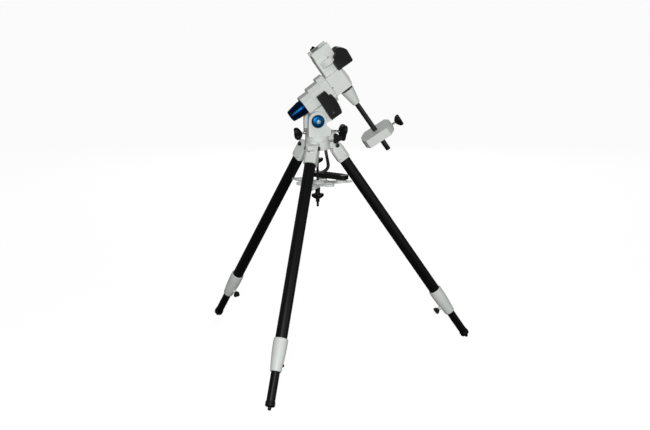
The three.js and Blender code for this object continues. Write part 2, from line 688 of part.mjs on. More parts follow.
function handset() {
  const [l, w] = [HANDSET_LENGTH / 2, HANDSET_WIDTH / 2];
  const plan = new THREE.Shape();
  plan.moveTo(-l + 14, -w);
  plan.lineTo(l - 16, -w + 3);
  plan.quadraticCurveTo(l, -w + 3, l, 0);
  plan.quadraticCurveTo(l, w - 3, l - 16, w - 3);
  plan.lineTo(-l + 14, w);
  plan.quadraticCurveTo(-l, w, -l, 0);
  plan.quadraticCurveTo(-l, -w, -l + 14, -w);
  const shell = plate(plan, 0, HANDSET_THICKNESS, 5);
  const keyWell = block(-42, 62, -20, 20, HANDSET_THICKNESS - 3, HANDSET_THICKNESS + 5);
  return onHandset(cut(shell, keyWell));
}

function handsetKeypad() {
  const top = HANDSET_THICKNESS;
  const pieces = [block(-41.5, 61.5, -19.5, 19.5, top - 3 + GAP, top - 1)];
  for (let row = 0; row < 6; row += 1) {
    for (let column = -1; column <= 1; column += 1) {
      const [x, y] = [-30 + row * 16, column * 12.5];
      pieces.push(block(x - 5, x + 5, y - 4, y + 4, top - 1.5, top + 1.2));
    }
  }
  return onHandset(join(...pieces));
}

// The cord's route, from the handset's end up to its plug
const CORD_ROUTE = [
  [1.6, 126.8, 716.5], [-5, 134, 715], [-8, 146, 711], [0, 158, 707], [16, 165, 705], [34, 163, 706],
  [50, 152, 711], [62, 136, 719], [69, 118, 732], [70, 102, 748], [65, 90, 768], [59, 83, 790],
  [54, 79, 814], [50, 76, 838], [46, 72, 862], [41.5, 66.5, 879], [38.6, 61.8, 886],
];

function handsetCord() {
  const route = new THREE.CatmullRomCurve3(CORD_ROUTE.map(([x, y, z]) => new THREE.Vector3(x, y, z)));
  const section = new THREE.Shape();
  section.absarc(0, 0, CORD_RADIUS, 0, 2 * Math.PI, false);
  const options = { extrudePath: route, steps: 22, bevelEnabled: false, curveSegments: 4 };
  return new THREE.ExtrudeGeometry(section, options);
}

function cordPlug() {
  const plug = turned([[0, 0], [7, 0], [7, 12], [5, 17], [0, 17]], 20);
  const placed = alongX(plug).translate(BASE_RADIUS + GAP, 0, PLUG_HEIGHT);
  return placed.rotateZ(PLUG_ANGLE * DEG);
}

// Assembly
const mount = new THREE.Group();

function addTripod() {
  part(mount, 'tripod_hub', tripodHub(), CASTING);
  part(mount, 'centre_rod', centreRod(), DARK_STEEL);
  part(mount, 'rod_knob', rodKnob(), PLASTIC);
  part(mount, 'accessory_tray', accessoryTray(), CASTING);
  part(mount, 'tray_knob', trayKnob(), PLASTIC);
  addLeg(mount, 'north', 0);
  addLeg(mount, 'far', 120);
  addLeg(mount, 'near', 240);
}

function addBase() {
  part(mount, 'azimuth_base', azimuthBase(), CASTING);
  part(mount, 'azimuth_knob_near', azimuthKnob(-1), PLASTIC);
  part(mount, 'azimuth_knob_far', azimuthKnob(1), PLASTIC);
  part(mount, 'altitude_knob_front', altitudeKnobFront(), PLASTIC);
  part(mount, 'altitude_knob_rear', altitudeKnobRear(), PLASTIC);
  part(mount, 'altitude_axle', altitudeAxle(), STEEL);
  part(mount, 'altitude_cap_near', altitudeCap(-1), BLUE);
  part(mount, 'altitude_cap_far', altitudeCap(1), BLUE);
}

function addHead() {
  const head = new THREE.Group();
  head.position.set(AXIS_CROSSING[0], 0, AXIS_CROSSING[1]);
  head.rotation.y = -LATITUDE * DEG;
  mount.add(head);
  part(head, 'ra_housing', raHousing(), CASTING);
  part(head, 'ra_motor_cover', raMotorCover(), PLASTIC);
  part(head, 'ra_shaft', raShaft(), ALUMINIUM);
  part(head, 'ra_worm_wheel', raWormWheel(), BRASS);
  part(head, 'ra_worm', wormAlongY(40).translate(WORM_AT[0], 0, WORM_AT[1]), STEEL);
  part(head, 'polar_scope', polarScope(), ALUMINIUM);
  part(head, 'polar_cap', polarCap(), BLUE);
  part(head, 'ra_clutch_lever', raClutchLever(), ALUMINIUM);
  part(head, 'dec_housing', decHousing(), CASTING);
  part(head, 'dec_motor_cover', decMotorCover(), PLASTIC);
  part(head, 'dec_worm_wheel', decWormWheel(), BRASS);
  part(head, 'dec_worm', wormAlongY(25).translate(DEC_WORM_AT[0], 0, DEC_WORM_AT[1]), STEEL);
  part(head, 'dec_clutch_lever', decClutchLever(), ALUMINIUM);
  part(head, 'dec_shaft', decShaft(), STEEL);
  part(head, 'dec_setting_circle', decSettingCircle(), PLASTIC);
  part(head, 'shaft_cone', shaftCone(), CASTING);
  part(head, 'counterweight_rod', counterweightRod(), DARK_STEEL);
  part(head, 'saddle', saddle(), CASTING);
  part(head, 'saddle_jaw', saddleJaw(), ALUMINIUM);
  part(head, 'saddle_knob', saddleKnob(), PLASTIC);
  part(head, 'counterweight', counterweight(), CASTING);
  part(head, 'counterweight_knob', counterweightKnob(), PLASTIC);
}

function addHandset() {
  part(mount, 'handset', handset(), PLASTIC);
  part(mount, 'handset_keypad', handsetKeypad(), RUBBER);
  part(mount, 'handset_cord', handsetCord(), RUBBER);
  part(mount, 'cord_plug', cordPlug(), PLASTIC);
}

addTripod();
addBase();
addHead();
addHandset();

// The origin lies on the floor below the middle of the box round the whole mount.
const box = new THREE.Box3().setFromObject(mount, true);
mount.position.x = -(box.min.x + box.max.x) / 2;

export default mount;
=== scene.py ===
import json
from math import cos, pi, radians, sin, tau
import bmesh
import bpy
from mathutils import Matrix, Vector


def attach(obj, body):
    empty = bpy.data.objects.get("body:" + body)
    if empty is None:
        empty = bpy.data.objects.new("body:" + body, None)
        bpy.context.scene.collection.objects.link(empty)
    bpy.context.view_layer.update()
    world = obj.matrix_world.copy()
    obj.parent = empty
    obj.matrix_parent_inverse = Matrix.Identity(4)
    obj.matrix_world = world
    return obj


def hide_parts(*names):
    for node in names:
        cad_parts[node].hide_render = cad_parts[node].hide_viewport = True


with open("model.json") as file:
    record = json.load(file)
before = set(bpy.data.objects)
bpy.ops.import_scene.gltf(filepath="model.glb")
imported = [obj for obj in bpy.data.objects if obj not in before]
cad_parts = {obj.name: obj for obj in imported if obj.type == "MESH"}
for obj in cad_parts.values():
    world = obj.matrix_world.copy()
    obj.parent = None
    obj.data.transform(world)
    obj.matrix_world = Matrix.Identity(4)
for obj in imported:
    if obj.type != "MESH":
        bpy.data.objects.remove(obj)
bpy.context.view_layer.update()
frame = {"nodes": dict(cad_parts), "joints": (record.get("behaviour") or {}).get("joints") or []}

joints = {joint["name"]: joint for joint in frame["joints"]}
nodes = frame["nodes"]
MM = 0.001
LEGS = ("north", "far", "near")

# Places of pieces in millimetres, each in the local frame of its assembly

CORD_SOCKET_HEIGHT = 887
AZIMUTH_SCREW_X, AZIMUTH_SCREW_Y, AZIMUTH_SCREW_HEIGHT = 66, 6.3, 887
ALTITUDE_X, ALTITUDE_HEIGHT = -10, 956
ALTITUDE_CAP_Y = 45.3
ALTITUDE_SCREW_HEIGHT = 914
ALTITUDE_SCREW_START = 8.4
FRONT_SCREW_SLOPE, REAR_SCREW_SLOPE = 5, 11
LEG_TUBE_X = -6.5
LEG_LOCK_X, LEG_LOCK_HEIGHT = -16.5, -846
BRACKET_HALF_WIDTH = 24.5
POLAR_WORM = (-72, 0, -43.5)
DECLINATION_WORM = (43.5, 0, 91)
COUNTERWEIGHT_TURN = -15
COUNTERWEIGHT_SCREW = (10.3, 0, -271.5)
SADDLE_SCREW = (-11, 25.6, 144.5)
HANDSET_PLACE = (63, 61, 708.3)
HANDSET_TURN = -47


# Local frames, each from the joints of the frame, with lengths in millimetres

def placed(origin, x_axis, z_axis):
    z = Vector(z_axis).normalized()
    x = Vector(x_axis).normalized()
    y = z.cross(x)
    turn = Matrix((x, y, z)).transposed().to_4x4()
    return Matrix.Translation(Vector(origin)) @ turn @ Matrix.Scale(MM, 4)


def joint_point(name):
    return Vector(joints[name]["pos_m"])


def joint_axis(name):
    return Vector(joints[name]["axis"])


tripod_axis = joint_point("mount_bolt_turn")
UPRIGHT = placed((tripod_axis.x, tripod_axis.y, 0), (1, 0, 0), (0, 0, 1))
HEAD = placed(joint_point("ra_turn"), joint_axis("ra_turn"), joint_axis("dec_turn"))


def leg_frame(name):
    up = -joint_axis(f"leg_{name}_extend")
    return placed(joint_point(f"leg_{name}_fold"), joint_axis(f"leg_{name}_fold").cross(up), up)


def shifted(matrix, x=0.0, y=0.0, z=0.0):
    return matrix @ Matrix.Translation((x, y, z))


def turned_about(matrix, axis, degrees):
    return matrix @ Matrix.Rotation(radians(degrees), 4, axis)


HANDSET = turned_about(shifted(UPRIGHT, *HANDSET_PLACE), "Z", HANDSET_TURN)


# Camera, in front of the near leg and a little above the mount

CAMERA_AZIMUTH = radians(-14.54)
CAMERA_PITCH = radians(13.61)
CAMERA_ROLL = radians(-0.13)
CAMERA_PLACE = Vector((-1.12185, -4.44, 1.67981))
CAMERA_LENS = 65.39
CAMERA_SENSOR = 36


def make_camera():
    data = bpy.data.cameras.new("camera")
    data.lens = CAMERA_LENS
    data.sensor_width = CAMERA_SENSOR
    level = cos(CAMERA_PITCH)
    back = Vector((sin(CAMERA_AZIMUTH) * level, -cos(CAMERA_AZIMUTH) * level, sin(CAMERA_PITCH)))
    right = Vector((cos(CAMERA_AZIMUTH), sin(CAMERA_AZIMUTH), 0))
    turn = Matrix((right, back.cross(right), back)).transposed() @ Matrix.Rotation(CAMERA_ROLL, 3, "Z")
    camera = bpy.data.objects.new("camera", data)
    foot_of_axis = Vector((tripod_axis.x, tripod_axis.y, 0))
    camera.matrix_world = Matrix.Translation(foot_of_axis + CAMERA_PLACE) @ turn.to_4x4()
    bpy.context.scene.collection.objects.link(camera)
    bpy.context.scene.camera = camera


make_camera()


# Mesh helpers. Every mesh keeps its local coordinates, in metres, in the attribute "local"

CORNER_REACH = 0.42
NEARLY_STRAIGHT = radians(165)


def fillet(points, radius, closed=False, steps=3):
    """The outline with its corners rounded by short curves."""
    result = []
    count = len(points)
    for i, point in enumerate(points):
        if not closed and i in (0, count - 1):
            result.append(tuple(point))
            continue
        before, corner, after = (Vector(points[(i + k) % count]) for k in (-1, 0, 1))
        to_before, to_after = before - corner, after - corner
        reach = min(radius, CORNER_REACH * to_before.length, CORNER_REACH * to_after.length)
        if to_before.angle(to_after) > NEARLY_STRAIGHT:
            result.append(tuple(point))
            continue
        start = corner + to_before.normalized() * reach
        end = corner + to_after.normalized() * reach
        for k in range(steps + 1):
            t = k / steps
            result.append(tuple(start * (1 - t) ** 2 + corner * 2 * t * (1 - t) + end * t ** 2))
    return result


def loft(rings, capped=True):
    """A mesh through rings of points, each ring a list of the same length or a single point.

    The first and last rings are capped, or joined to each other.
    """
    bm = bmesh.new()
    made = [[bm.verts.new(p) for p in ring] for ring in rings]
    pairs = list(zip(made, made[1:]))
    if not capped:
        pairs.append((made[-1], made[0]))
    for low, high in pairs:
        count = max(len(low), len(high))
        for i in range(count):
            k = (i + 1) % count
            corners = [low[i % len(low)], low[k % len(low)], high[k % len(high)], high[i % len(high)]]
            unique = list(dict.fromkeys(corners))
            if len(unique) > 2:
                bm.faces.new(unique)
    if capped:
        for ring in (made[0], made[-1]):
            if len(ring) > 2:
                bm.faces.new(ring)
    bmesh.ops.recalc_face_normals(bm, faces=bm.faces)
    return bm


def circle(radius, z, sides):
    if radius < 1e-6:
        return [(0, 0, z)]
    return [(radius * cos(tau * i / sides), radius * sin(tau * i / sides), z) for i in range(sides)]


def lathe(profile, sides=72, round_by=0.6, closed=False):
    """A profile of (radius, height) turned about Z. It starts and ends on the axis, or closes on itself."""
    points = fillet(profile, round_by, closed) if round_by else profile
    rings = [circle(radius, z, sides) for radius, z in points]
    return loft(rings, capped=not closed)


def stood(bm):
    """Turns a mesh made along Z so that it runs along Y: Z becomes Y, and Y becomes -Z."""
    bmesh.ops.rotate(bm, cent=(0, 0, 0), matrix=Matrix.Rotation(-pi / 2, 3, "X"), verts=bm.verts)
    return bm


def merged(*parts):
    """Several meshes as one."""
    bm = bmesh.new()
    for part in parts:
        mesh = bpy.data.meshes.new("part")
        part.to_mesh(mesh)
        part.free()
        bm.from_mesh(mesh)
        bpy.data.meshes.remove(mesh)
    return bm


def moved(bm, matrix):
    bm.transform(matrix)
    return bm


SHARP_OVER = radians(32)


def add(name, bm, matrix, look, body, *replaced):
    """Makes a piece from a mesh in local millimetres, and lets it ride on a body."""
    local = bm.verts.layers.float_vector.new("local")
    for vert in bm.verts:
        vert[local] = vert.co * MM
    bm.transform(matrix)
    mesh = bpy.data.meshes.new(name)
    bm.to_mesh(mesh)
    bm.free()
    mesh.polygons.foreach_set("use_smooth", [True] * len(mesh.polygons))
    mesh.set_sharp_from_angle(angle=SHARP_OVER)
    mesh.materials.append(look.material)
    piece = bpy.data.objects.new(name, mesh)
    bpy.context.scene.collection.objects.link(piece)
    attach(piece, body)
    if replaced:
        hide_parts(*replaced)
    return piece


BEVEL_SEGMENTS = 3
FLAT_WITHIN = radians(1)
EDGE_OVER = radians(30)


def refined(name, node, matrix, look, body, edge):
    """The CAD node's own shape with its flat faces joined up and its edges softened."""
    bm = bmesh.new()
    bm.from_mesh(nodes[node].data)
    bm.transform(matrix.inverted())
    bmesh.ops.remove_doubles(bm, verts=bm.verts, dist=0.01)
    bmesh.ops.dissolve_limit(bm, angle_limit=FLAT_WITHIN, verts=bm.verts, edges=bm.edges)
    edges = [e for e in bm.edges if len(e.link_faces) == 2 and e.calc_face_angle(0) > EDGE_OVER]
    bmesh.ops.bevel(bm, geom=edges, offset=edge, segments=BEVEL_SEGMENTS, profile=0.5, affect="EDGES",
                    clamp_overlap=True)
    piece = add(name, bm, matrix, look, body, node)
    flat_faces = piece.modifiers.new("flat faces", "WEIGHTED_NORMAL")
    flat_faces.keep_sharp = True
    flat_faces.weight = 100
    return piece


# Materials

class Look:
    def __init__(self, name, slot, color, roughness, metallic=0.0, **extras):
        self.slot = slot
        self.material = make_material(name, color, roughness, metallic, **extras)


def node_of(tree, kind, **inputs):
    made = tree.nodes.new(kind)
    for key, value in inputs.items():
        made.inputs[key.replace("_", " ")].default_value = value
    return made


def mapped(tree, value, low, high, from_low=0.3, from_high=0.7):
    ramp = node_of(tree, "ShaderNodeMapRange")
    tree.links.new(value, ramp.inputs["Value"])
    ramp.inputs["From Min"].default_value = from_low
    ramp.inputs["From Max"].default_value = from_high
    ramp.inputs["To Min"].default_value = low
    ramp.inputs["To Max"].default_value = high
    return ramp.outputs["Result"]


def mixed(tree, factor, first, second):
    mix = tree.nodes.new("ShaderNodeMix")
    mix.data_type = "RGBA"
    tree.links.new(factor, mix.inputs["Factor"])
    for socket, value in (("A", first), ("B", second)):
        target = next(s for s in mix.inputs if s.name == socket and s.type == "RGBA")
        if isinstance(value, bpy.types.NodeSocket):
            tree.links.new(value, target)
        else:
            target.default_value = (*value, 1)
    return next(s for s in mix.outputs if s.type == "RGBA")


def noise_at(tree, coordinates, scale, detail=3.0, stretch=(1, 1, 1)):
    mapping = node_of(tree, "ShaderNodeMapping")
    mapping.inputs["Scale"].default_value = stretch
    tree.links.new(coordinates, mapping.inputs["Vector"])
    noise = node_of(tree, "ShaderNodeTexNoise", Scale=scale, Detail=detail)
    tree.links.new(mapping.outputs["Vector"], noise.inputs["Vector"])
    return noise.outputs["Fac"]


def turning_rings(tree, coordinates):
    """The fine concentric grooves that a lathe leaves about the local Z axis."""
    rings = node_of(tree, "ShaderNodeTexWave", Scale=520.0, Distortion=0.6, Detail=2.0)
    rings.wave_type = "RINGS"
    rings.rings_direction = "Z"
    tree.links.new(coordinates, rings.inputs["Vector"])
    return rings.outputs["Fac"]


def varied_color(tree, place, color, tint, streak, wear):
    """The base colour, with broad patches, lighter streaks of painted highlight and lighter worn edges."""
    darker = tuple(c * (1 - tint) for c in color)
    lighter = tuple(min(1, c * (1 + tint)) for c in color)
    base = mixed(tree, mapped(tree, noise_at(tree, place, 18.0), 0, 1), darker, lighter)
    if streak:
        lines = noise_at(tree, place, 60.0, 4.0, streak)
        # Lighter lines along the stretched noise: painted highlight streaks, not scuffs.
        painted_highlight_streak = tuple(min(1, c * 2.2 + 0.01) for c in color)
        base = mixed(tree, mapped(tree, lines, 0, 0.5, 0.55, 0.8), base, painted_highlight_streak)
    if wear:
        geometry = node_of(tree, "ShaderNodeNewGeometry")
        edges = mapped(tree, geometry.outputs["Pointiness"], 0, 0.75, 0.53, 0.62)
        base = mixed(tree, edges, base, wear)
    return base


def make_material(name, color, roughness, metallic, grain=900.0, grain_depth=0.00006, tint=0.06,
                  wear=None, streak=None, turned=False, specular=0.5, spread=0.12):
    """One procedural finish: broad colour and roughness variation, fine grain, and worn edges."""
    material = bpy.data.materials.new(name)
    material.use_nodes = True
    tree = material.node_tree
    shader = tree.nodes["Principled BSDF"]
    coordinates = node_of(tree, "ShaderNodeAttribute")
    coordinates.attribute_name = "local"
    place = coordinates.outputs["Vector"]
    tree.links.new(varied_color(tree, place, color, tint, streak, wear), shader.inputs["Base Color"])
    stretch = streak or (1, 1, 1)
    patches = noise_at(tree, place, 120.0, 4.0, stretch)
    rough = mapped(tree, patches, roughness * (1 - spread), roughness * (1 + spread))
    tree.links.new(rough, shader.inputs["Roughness"])
    shader.inputs["Metallic"].default_value = metallic
    shader.inputs["Specular IOR Level"].default_value = specular
    height = turning_rings(tree, place) if turned else noise_at(tree, place, grain, 2.0, stretch)
    bump = node_of(tree, "ShaderNodeBump", Strength=1.0, Distance=grain_depth)
    tree.links.new(height, bump.inputs["Height"])
    tree.links.new(bump.outputs["Normal"], shader.inputs["Normal"])
    return material


WHITE = (0.70, 0.73, 0.705)
WORN_WHITE = (0.80, 0.81, 0.79)
FINE = 0.00001
CASTING = Look("white powder coat", "white_casting", WHITE, 0.46, grain=700, wear=WORN_WHITE, tint=0.03)
IRON = Look("white coated iron", "white_iron", WHITE, 0.46, grain=600, wear=WORN_WHITE, tint=0.03)
# The leg paint takes lighter streaks along its length: painted highlight.
LEG_PAINT = Look("black leg paint", "leg_black", (0.0014, 0.0015, 0.0017), 0.4, grain=1200,
                 grain_depth=0.00003, specular=0.22, tint=0.2, streak=(1, 1, 0.06))
PLASTIC = Look("black moulded plastic", "black_plastic", (0.002, 0.0022, 0.0026), 0.52, grain=2200,
               grain_depth=0.00005, specular=0.22, tint=0.15, wear=(0.010, 0.010, 0.011))
BLUE = Look("blue anodised", "blue_anodised", (0.003, 0.085, 0.23), 0.42, 1.0, turned=True,
            grain_depth=FINE, tint=0.15, wear=(0.02, 0.16, 0.38))
# A darker copy of the blue anodised finish, for the polar cap: its darker colour is painted shade.
SHADED_BLUE_ANODISED = Look("blue anodised with painted shade", "blue_anodised", (0.0015, 0.022, 0.07), 0.28, 1.0, turned=True,
            grain_depth=FINE, tint=0.15, wear=(0.01, 0.08, 0.22))
# The pale star on each altitude cap is a painted highlight, set in low relief.
PAINTED_STAR_HIGHLIGHT = Look("pale blue star with painted highlight", "blue_anodised", (0.34, 0.50, 0.56), 0.5, 0.3, grain=1500, grain_depth=FINE)
MARKING = Look("white filled marks", "black_plastic", (0.6, 0.6, 0.6), 0.5, grain=1500, grain_depth=FINE)
BRIGHT = Look("bright steel", "bright_steel", (0.55, 0.55, 0.56), 0.28, 1.0, turned=True,
              grain_depth=FINE, tint=0.1)
# The dark steel takes lighter streaks along its length: painted highlight.
DARK_STEEL = Look("dark turned steel", "dark_steel", (0.045, 0.045, 0.048), 0.36, 0.9, grain=1500,
                  grain_depth=FINE, tint=0.15, streak=(1, 1, 0.1))
BRASS = Look("brass", "brass", (0.62, 0.43, 0.16), 0.3, 1.0, turned=True, grain_depth=FINE)
BARE = Look("bare aluminium", "bare_aluminium", (0.60, 0.61, 0.62), 0.32, 1.0, turned=True,
            grain_depth=FINE)
RUBBER = Look("black rubber", "rubber", (0.006, 0.006, 0.0065), 0.75, grain=1800, grain_depth=0.00005,
              specular=0.3)
CORD_RUBBER = Look("cord rubber", "rubber", (0.006, 0.006, 0.0062), 0.5, grain=1800, grain_depth=0.00002)


# Repeated small pieces

KNOB_SIDES = 96
KNOB_SHAPE = (
    (0.0, 0.50), (0.04, 0.56), (0.22, 0.80), (0.42, 0.95), (0.6, 1.0), (0.84, 1.0), (0.94, 0.965),
    (1.0, 0.90),
)
KNOB_DISH = 1.2
THREAD_PITCH = 1.25


def lobed(radius, depth, lobes, scale, z):
    ring = []
    for i in range(KNOB_SIDES):
        angle = tau * i / KNOB_SIDES
        reach = (radius - depth * (0.5 - 0.5 * cos(lobes * angle))) * scale
        ring.append((reach * cos(angle), reach * sin(angle), z))
    return ring


def knob_head(radius, thickness, lobes, depth, neck=3.0):
    """A moulded hand knob, from its shoulder up to its flat outer face with a small dished centre."""
    rings = [circle(radius * 0.3, -neck, KNOB_SIDES)]
    for at, scale in KNOB_SHAPE:
        cut = depth * (0.35 + 0.65 * min(1, at * 3))
        rings.append(lobed(radius, cut, lobes, scale, at * thickness))
    bottom = thickness - KNOB_DISH
    rings.append(circle(radius * 0.42, thickness, KNOB_SIDES))
    rings.append(circle(radius * 0.38, bottom, KNOB_SIDES))
    rings.append([(0, 0, bottom)])
    return loft(rings)


def threaded_rod(radius, z0, z1, pitch, sides=24):
    """A screw's shank, with a groove for each turn of its thread."""
    profile = [(0, z0), (radius * 0.8, z0)]
    count = max(1, int((z1 - z0) / pitch))
    for i in range(count):
        z = z0 + (i + 0.25) * (z1 - z0) / count
        profile += [(radius, z), (radius * 0.86, z + 0.5 * (z1 - z0) / count)]
    profile += [(radius, z1), (0, z1)]
    return lathe(profile, sides, 0)


def hand_screw(name, node, matrix, body, screw_radius, head_start, radius, thickness, lobes=3, neck=3.0):
    """A knob on its screw. The screw starts at the local origin and reaches into the neck of the knob."""
    depth = radius * (0.2 if lobes > 3 else 0.38)
    head = moved(knob_head(radius, thickness, lobes, depth, neck), Matrix.Translation((0, 0, head_start)))
    add(name, head, matrix, PLASTIC, body, node)
    shank = threaded_rod(screw_radius, 0, head_start - neck * 2 / 3, THREAD_PITCH)
    add(f"{name}_screw", shank, matrix, BRIGHT, body)


def socket_screw(name, matrix, body, radius, height, look=DARK_STEEL):
    """A cap screw with a hexagonal socket, its head standing out along Z."""
    sides = 36
    hexagon = []
    for i in range(sides):
        angle = tau * i / sides
        reach = radius * 0.5 * cos(pi / 6) / cos((angle % (pi / 3)) - pi / 6)
        hexagon.append((reach * cos(angle), reach * sin(angle)))
    rings = [
        circle(radius, -1, sides),
        circle(radius, height * 0.8, sides),
        circle(radius * 0.9, height, sides),
        [(x, y, height) for x, y in hexagon],
        [(x, y, -height * 0.2) for x, y in hexagon],
        [(0, 0, -height * 0.3)],
    ]
    add(name, loft(rings), matrix, look, body)


def near_side(matrix, x, y, z):
    """A frame whose Z axis points out of the near side, along the local -Y."""
    return turned_about(shifted(matrix, x, y, z), "X", 90)


def far_side(matrix, x, y, z):
    return turned_about(shifted(matrix, x, y, z), "X", -90)


# The curly cord, from the hand controller up to its plug

CORD_ROUTE = [
    (5.3, 122.8, 717), (1.6, 126.8, 716.5), (-5, 134, 715), (-8, 146, 711), (0, 158, 707),
    (16, 165, 705), (34, 163, 706), (50, 152, 711), (62, 136, 719), (69, 118, 732), (70, 102, 748),
    (65, 90, 768), (59, 83, 790), (54, 79, 814), (50, 76, 838), (46, 72, 862), (41.5, 66.5, 879),
    (38.6, 61.8, 886), (36, 57.6, 887),
]
WIRE = 4.0
COIL_RADIUS = 5.0
COIL_PITCH = 5.4
TURN_POINTS = 12
OPENING_POINTS = 20


def smooth_route(points, per_span=12):
    route = []
    ends = [points[0]] + points + [points[-1]]
    for i in range(len(points) - 1):
        a, b, c, d = (Vector(p) for p in ends[i:i + 4])
        for k in range(per_span):
            t = k / per_span
            route.append(0.5 * (2 * b + (c - a) * t + (2 * a - 5 * b + 4 * c - d) * t ** 2
                                + (3 * b - a - 3 * c + d) * t ** 3))
    route.append(Vector(points[-1]))
    return route


def along(route, step):
    """Points a fixed distance apart along a route."""
    result = [route[0]]
    left = step
    for start, end in zip(route, route[1:]):
        span = (end - start).length
        at = left
        while at <= span:
            result.append(start.lerp(end, at / span))
            at += step
        left = at - span
    return result


def curl(route):
    """A helix round the route, opening out of its start and closing into its end."""
    middle = along(route, COIL_PITCH / TURN_POINTS)
    side = Vector((0, 0, 1)).cross(middle[1] - middle[0]).normalized()
    points = []
    for i, centre in enumerate(middle):
        ahead = (middle[min(i + 1, len(middle) - 1)] - middle[max(i - 1, 0)]).normalized()
        side = (side - ahead * side.dot(ahead)).normalized()
        up = ahead.cross(side)
        reach = COIL_RADIUS * min(1, i / OPENING_POINTS, (len(middle) - 1 - i) / OPENING_POINTS)
        angle = tau * i / TURN_POINTS
        points.append(centre + (side * cos(angle) + up * sin(angle)) * reach)
    return points


def make_cord_ends():
    """The plug in the base, and the sleeve where the cord leaves the hand controller."""
    plug = lathe([
        (0, 48.8), (7, 48.8), (7, 58.4), (5.6, 59.6), (4.9, 61), (4.9, 62), (5.3, 62.2), (5.3, 63.4),
        (4.5, 63.6), (4.5, 64.8), (4.9, 65), (4.9, 66.2), (4.1, 66.4), (4.1, 67.6), (4.4, 67.8),
        (4.2, 70), (0, 70),
    ], 48, 0.3)
    socket = turned_about(turned_about(shifted(UPRIGHT, z=CORD_SOCKET_HEIGHT), "Z", 58), "Y", 90)
    sleeve = lathe([
        (0, 84), (5.2, 84), (5.2, 86), (4.6, 86.2), (4.6, 87.4), (4.9, 87.6), (4.9, 88.8), (4.2, 89),
        (3.8, 92), (0, 92),
    ], 48, 0.2)
    hand_end = turned_about(shifted(HANDSET, z=9), "Y", -90)
    return [
        add("cord_plug_moulded", plug, socket, PLASTIC, "azimuth", "cord_plug"),
        add("handset_cord_sleeve", sleeve, hand_end, RUBBER, "tray"),
    ]


def make_cord():
    pieces = make_cord_ends()
    points = [UPRIGHT @ p for p in curl(smooth_route(CORD_ROUTE))]
    data = bpy.data.curves.new("handset_curly_cord", "CURVE")
    data.dimensions = "3D"
    data.bevel_depth = WIRE / 2 * MM
    data.bevel_resolution = 2
    data.use_fill_caps = True
    spline = data.splines.new("POLY")
    spline.points.add(len(points) - 1)
    for point, place in zip(spline.points, points):
        point.co = (*place, 1)
    cord = bpy.data.objects.new("handset_curly_cord", data)
    data.materials.append(CORD_RUBBER.material)
    bpy.context.scene.collection.objects.link(cord)
    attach(cord, "root")
    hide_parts("handset_cord")


make_cord()


# Tripod

def make_leg(name):
    leg = leg_frame(name)
    tubes = shifted(leg, x=LEG_TUBE_X)
    body = f"leg_{name}"
    extension = f"leg_extension_{name}"
    refined(f"leg_{name}_casting", f"leg_bracket_{name}", leg, CASTING, body, 1.6)
    for side, turn in ((-1, near_side), (1, far_side)):
        head = turn(leg, 0, side * (BRACKET_HALF_WIDTH + 0.3), 0)
        word = "left" if side < 0 else "right"
        bolt = lathe([(0, 0), (8.6, 0), (8.6, 1.2), (7.4, 1.4), (7.2, 5.6), (5.6, 6.2), (0, 6.2)], 48, 0.3)
        replaced = [f"leg_bolt_{name}"] if side < 0 else []
        add(f"leg_{name}_bolt_head_{word}", bolt, head, DARK_STEEL, "root", *replaced)
        socket_screw(f"leg_{name}_bolt_{word}", shifted(head, z=6.0), "root", 4.6, 0.6)
        for i, x in enumerate((-21, 5)):
            place = turn(leg, x, side * BRACKET_HALF_WIDTH, -56)
            socket_screw(f"leg_{name}_set_screw_{word}_{i}", place, body, 1.9, 0.4)
    shank = lathe([(0, -24.9), (4, -24.9), (4, 24.9), (0, 24.9)], 32, 0)
    add(f"leg_{name}_bolt_shank", stood(shank), leg, BRIGHT, "root")
    upper = lathe([(20.65, -792), (22.25, -792), (22.25, -34.3), (20.65, -34.3)], 96, 0.4, closed=True)
    add(f"leg_{name}_upper_tube", upper, tubes, LEG_PAINT, body, f"leg_tube_{name}")
    lower = lathe([(14.6, -1008), (16.2, -1008), (16.2, -480), (14.6, -480)], 72, 0.3, closed=True)
    add(f"leg_{name}_lower_tube", lower, tubes, LEG_PAINT, extension, f"leg_inner_tube_{name}")
    make_collar(name, tubes, body)
    make_foot(name, tubes, extension)
    lock = turned_about(shifted(tubes, LEG_LOCK_X, 0, LEG_LOCK_HEIGHT), "Y", -90)
    hand_screw(f"leg_{name}_lock", f"leg_lock_knob_{name}", lock, f"leg_lock_{name}", 4, 18, 15.5, 17)


def make_collar(name, tubes, body):
    shell = lathe([
        (16.5, -886), (19.6, -886), (20.6, -884.5), (23.6, -852), (25.9, -822), (26.8, -797), (27.0, -777),
        (26.5, -776.4), (26.5, -775.2), (27.0, -774.6), (26.9, -765), (25.6, -762.2), (22.55, -762),
        (22.55, -793), (16.5, -798),
    ], 96, 0.8, closed=True)
    boss = lathe([(0, 15.5), (8, 15.5), (8, 31.5), (6.8, 33), (4.5, 33), (4.5, 30), (0, 30)], 40, 0.5)
    to_lock = turned_about(Matrix.Translation((0, 0, LEG_LOCK_HEIGHT)), "Y", -90)
    collar = merged(shell, moved(boss, to_lock))
    add(f"leg_{name}_clamp_collar", collar, tubes, CASTING, body, f"leg_collar_{name}")


def make_foot(name, tubes, body):
    cap = lathe([
        (0, -1029), (4, -1028.2), (6.3, -1025.2), (6.9, -1020), (7.2, -1016.2), (13, -1015.4),
        (17.4, -1013.5), (18.5, -1009), (18.5, -1003), (17.9, -1002.4), (17.9, -1001.2),
        (18.5, -1000.6), (18.2, -996.6), (16.6, -996), (16.45, -998), (0, -998),
    ], 72, 0.8)
    add(f"leg_{name}_foot_cap", cap, tubes, PLASTIC, body, f"leg_foot_{name}")


